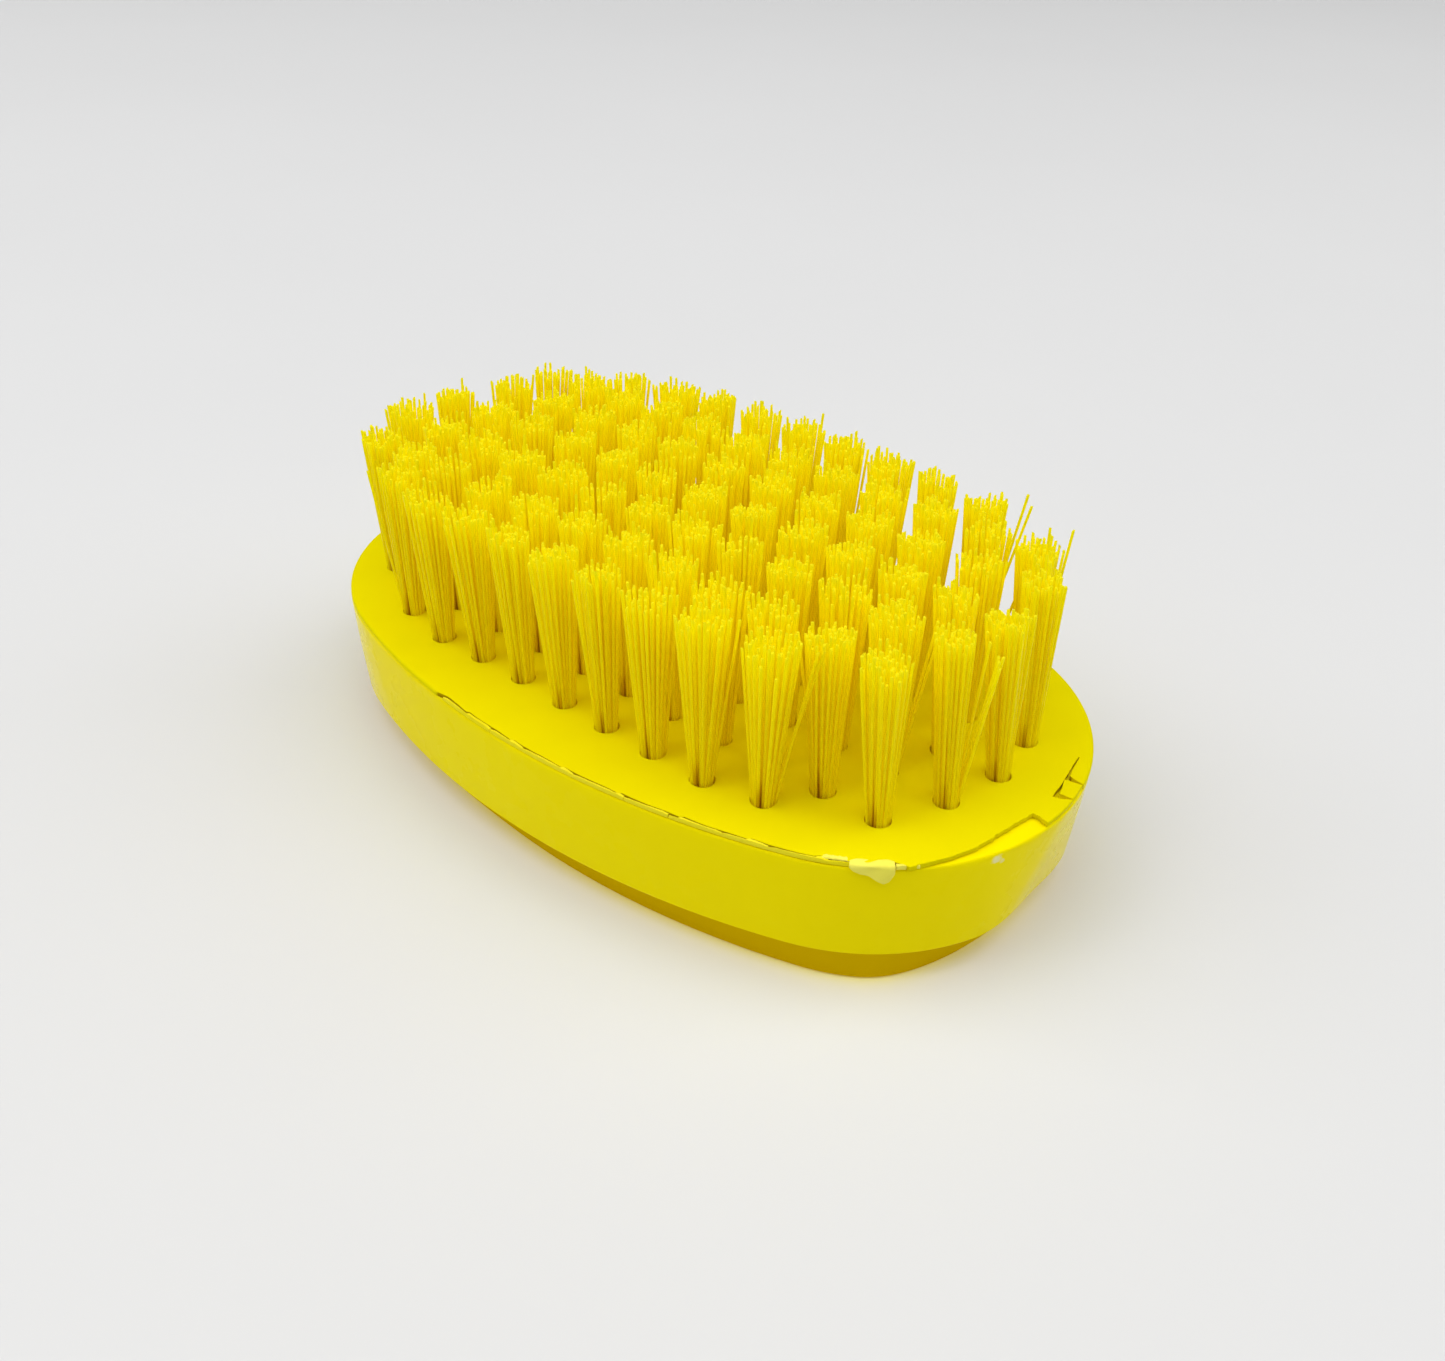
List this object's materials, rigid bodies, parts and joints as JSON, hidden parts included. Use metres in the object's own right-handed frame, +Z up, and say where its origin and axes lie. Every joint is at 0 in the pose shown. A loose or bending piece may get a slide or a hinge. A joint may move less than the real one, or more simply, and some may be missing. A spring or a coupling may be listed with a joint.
{
  "type": "nail brush",
  "caption": "Oval palm nail brush lying on its back: a moulded back shell closed by a plate that carries rows of straight, flared scrubbing tufts.",
  "frame": {"origin": "middle of the flat land on the back that the brush rests on, under the centre of the oval", "axes": "+Z up, out of the bristle face; +X along the oval, towards the end where the edge flange is chipped; +Y across the oval"},
  "size_m": [0.09, 0.054, 0.033],
  "materials": {
    "shell": "bright yellow moulded plastic, satin to gloss",
    "plate": "bright yellow moulded plastic, soft satin face",
    "bead": "pale, slightly translucent squeezed-out joining plastic",
    "bristle": "yellow extruded filament with a soft sheen and cut ends"
  },
  "bodies": {
    "root": {"back_shell": "shell", "seam_bead": "bead", "bristle_plate": "plate", "tuft_row_1": "bristle", "tuft_row_2": "bristle", "tuft_row_3": "bristle", "tuft_row_4": "bristle", "tuft_row_5": "bristle", "tuft_row_6": "bristle", "tuft_row_7": "bristle"}
  },
  "joints": []
}
